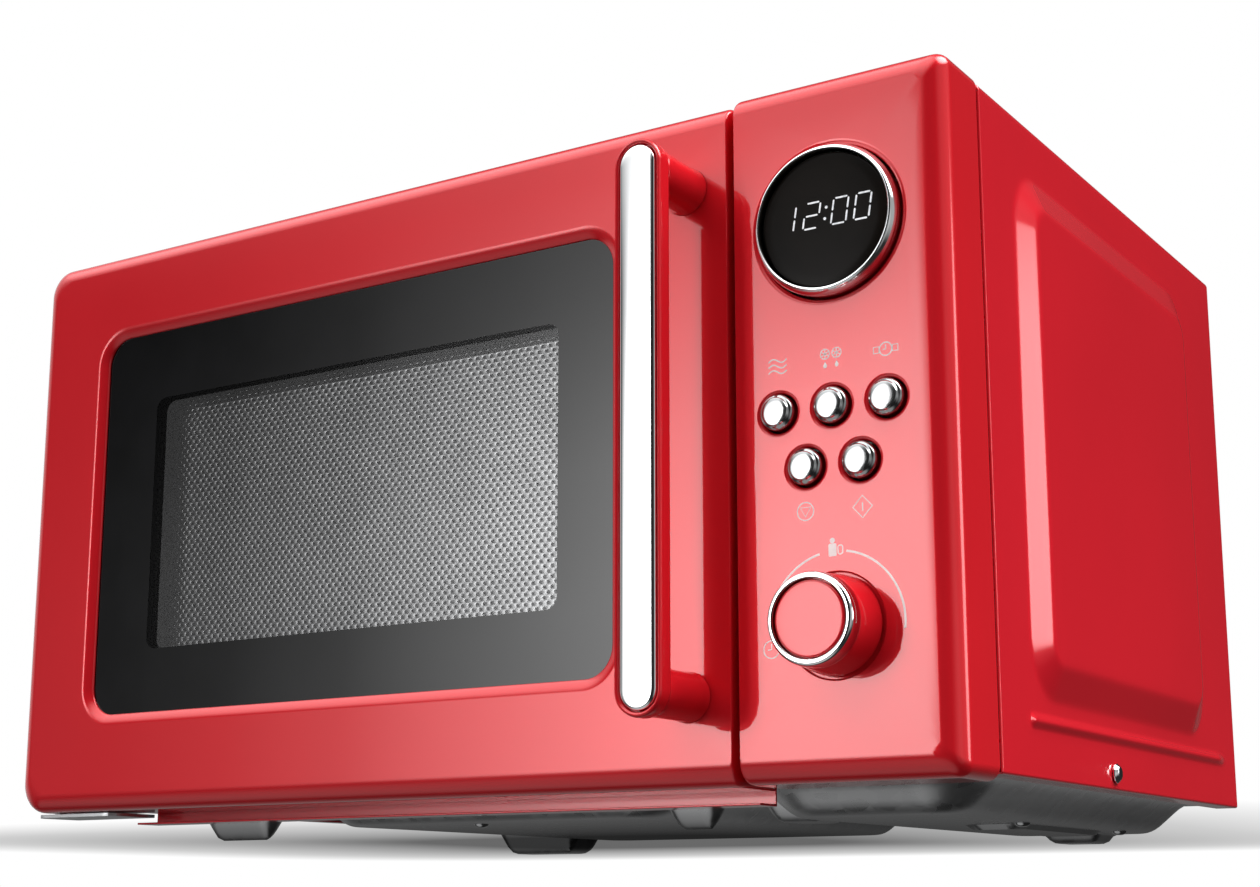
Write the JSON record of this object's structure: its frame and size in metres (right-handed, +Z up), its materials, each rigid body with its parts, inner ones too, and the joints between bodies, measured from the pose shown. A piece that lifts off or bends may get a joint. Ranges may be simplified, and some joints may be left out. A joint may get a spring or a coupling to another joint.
{
  "type": "microwave oven",
  "caption": "Countertop microwave oven with a side-hinged window door, bar handle, glass turntable and a panel with round display, push buttons and rotary knob.",
  "frame": {"origin": "on the surface the oven stands on, under the middle of its box", "axes": "+X to the right as seen from the front, +Y from the door to the back, +Z up"},
  "size_m": [0.452, 0.336, 0.2607],
  "materials": {
    "red_paint": "gloss",
    "red_plastic": "gloss",
    "cavity_enamel": "satin",
    "galvanised": "satin",
    "chrome": "mirror",
    "black_glass": "gloss",
    "display_black": "gloss",
    "dark_plastic": "satin",
    "pale_plastic": "satin",
    "magnetron_steel": "satin",
    "fin_aluminium": "satin",
    "copper": "satin",
    "circuit_board": "satin",
    "clear_glass": "gloss",
    "spring_steel": "satin"
  },
  "bodies": {
    "root": {"outer_cover": "red_paint", "front_plate": "red_paint", "cavity": "cavity_enamel", "base_plate": "galvanised", "rear_plate": "galvanised", "hinge_lower": "galvanised", "hinge_upper": "galvanised", "latch_bracket": "pale_plastic", "door_switch_lower": "dark_plastic", "door_switch_upper": "dark_plastic", "cover_screw_left": "chrome", "cover_screw_right": "chrome", "rear_screw_left": "galvanised", "rear_screw_right": "galvanised", "rear_screw_top": "galvanised", "cord_grommet": "dark_plastic", "waveguide": "galvanised", "waveguide_cover": "pale_plastic", "magnetron_body": "magnetron_steel", "magnetron_fins": "fin_aluminium", "transformer_core": "magnetron_steel", "transformer_winding": "copper", "capacitor": "magnetron_steel", "hv_diode": "dark_plastic", "filter_board": "circuit_board", "fan_shroud": "dark_plastic", "fan_motor": "magnetron_steel", "air_duct": "dark_plastic", "cavity_lamp": "pale_plastic", "thermal_cutout": "dark_plastic", "turntable_motor": "galvanised", "control_panel": "red_plastic", "display_ring": "chrome", "display_lens": "display_black", "display_module": "dark_plastic", "control_board": "circuit_board", "encoder": "galvanised"},
    "door": {"door_frame": "red_plastic", "door_window": "black_glass", "door_screen": "galvanised", "choke_cover": "dark_plastic", "handle_bar": "red_plastic", "handle_trim": "chrome", "latch_spring": "spring_steel"},
    "latch": {"latch_hook": "pale_plastic"},
    "coupler": {"tray_coupler": "dark_plastic"},
    "tray": {"glass_tray": "clear_glass"},
    "ring": {"roller_ring": "pale_plastic"},
    "roller_1": {"tray_roller_1": "dark_plastic"},
    "roller_2": {"tray_roller_2": "dark_plastic"},
    "roller_3": {"tray_roller_3": "dark_plastic"},
    "fan": {"fan_blade": "pale_plastic"},
    "power": {"button_power": "chrome"},
    "defrost": {"button_defrost": "chrome"},
    "clock": {"button_clock": "chrome"},
    "stop": {"button_stop": "chrome"},
    "start": {"button_start": "chrome"},
    "knob": {"knob_body": "red_plastic", "knob_ring": "chrome", "knob_cap": "red_plastic"}
  },
  "joints": [
    {"name": "door_hinge", "type": "hinge", "parent": "root", "child": "door", "pos_m": [-0.2115, -0.118, 0.135], "axis": [0, 0, -1], "range_deg": [0, 100]},
    {"name": "latch_lift", "type": "slide", "parent": "door", "child": "latch", "axis": [0, 0, 1], "range_m": [0, 0.003], "stiffness_N_per_m": 300, "deforming": ["latch_spring"]},
    {"name": "turntable_spin", "type": "hinge", "parent": "root", "child": "coupler", "pos_m": [-0.044, 0.0283, 0.04], "axis": [0, 0, 1], "continuous": true},
    {"name": "tray_lift", "type": "slide", "parent": "coupler", "child": "tray", "axis": [0, 0, 1], "range_m": [0, 0.04]},
    {"name": "ring_spin", "type": "hinge", "parent": "root", "child": "ring", "pos_m": [-0.044, 0.0283, 0.0413], "axis": [0, 0, 1], "continuous": true},
    {"name": "fan_spin", "type": "hinge", "parent": "root", "child": "fan", "pos_m": [0.166, 0.1195, 0.152], "axis": [0, 1, 0], "continuous": true},
    {"name": "knob_turn", "type": "hinge", "parent": "root", "child": "knob", "pos_m": [0.1774, -0.145, 0.0647], "axis": [0, 1, 0], "continuous": true},
    {"name": "roller_spin_1", "type": "hinge", "parent": "ring", "child": "roller_1", "pos_m": [0.0505, 0.0283, 0.0413], "axis": [1, 0, 0], "continuous": true},
    {"name": "roller_spin_2", "type": "hinge", "parent": "ring", "child": "roller_2", "pos_m": [-0.09125, 0.11014, 0.0413], "axis": [-0.5, 0.866, 0], "continuous": true},
    {"name": "roller_spin_3", "type": "hinge", "parent": "ring", "child": "roller_3", "pos_m": [-0.09125, -0.05354, 0.0413], "axis": [-0.5, -0.866, 0], "continuous": true},
    {"name": "press_power", "type": "slide", "parent": "root", "child": "power", "axis": [0, 1, 0], "range_m": [0, 0.0015], "stiffness_N_per_m": 400},
    {"name": "press_defrost", "type": "slide", "parent": "root", "child": "defrost", "axis": [0, 1, 0], "range_m": [0, 0.0015], "stiffness_N_per_m": 400},
    {"name": "press_clock", "type": "slide", "parent": "root", "child": "clock", "axis": [0, 1, 0], "range_m": [0, 0.0015], "stiffness_N_per_m": 400},
    {"name": "press_stop", "type": "slide", "parent": "root", "child": "stop", "axis": [0, 1, 0], "range_m": [0, 0.0015], "stiffness_N_per_m": 400},
    {"name": "press_start", "type": "slide", "parent": "root", "child": "start", "axis": [0, 1, 0], "range_m": [0, 0.0015], "stiffness_N_per_m": 400}
  ],
  "couplings": [
    {"joint": "ring_spin", "follows": "turntable_spin", "ratio": 0.5},
    {"joint": "roller_spin_1", "follows": "turntable_spin", "ratio": -6.75},
    {"joint": "roller_spin_2", "follows": "turntable_spin", "ratio": -6.75},
    {"joint": "roller_spin_3", "follows": "turntable_spin", "ratio": -6.75}
  ]
}
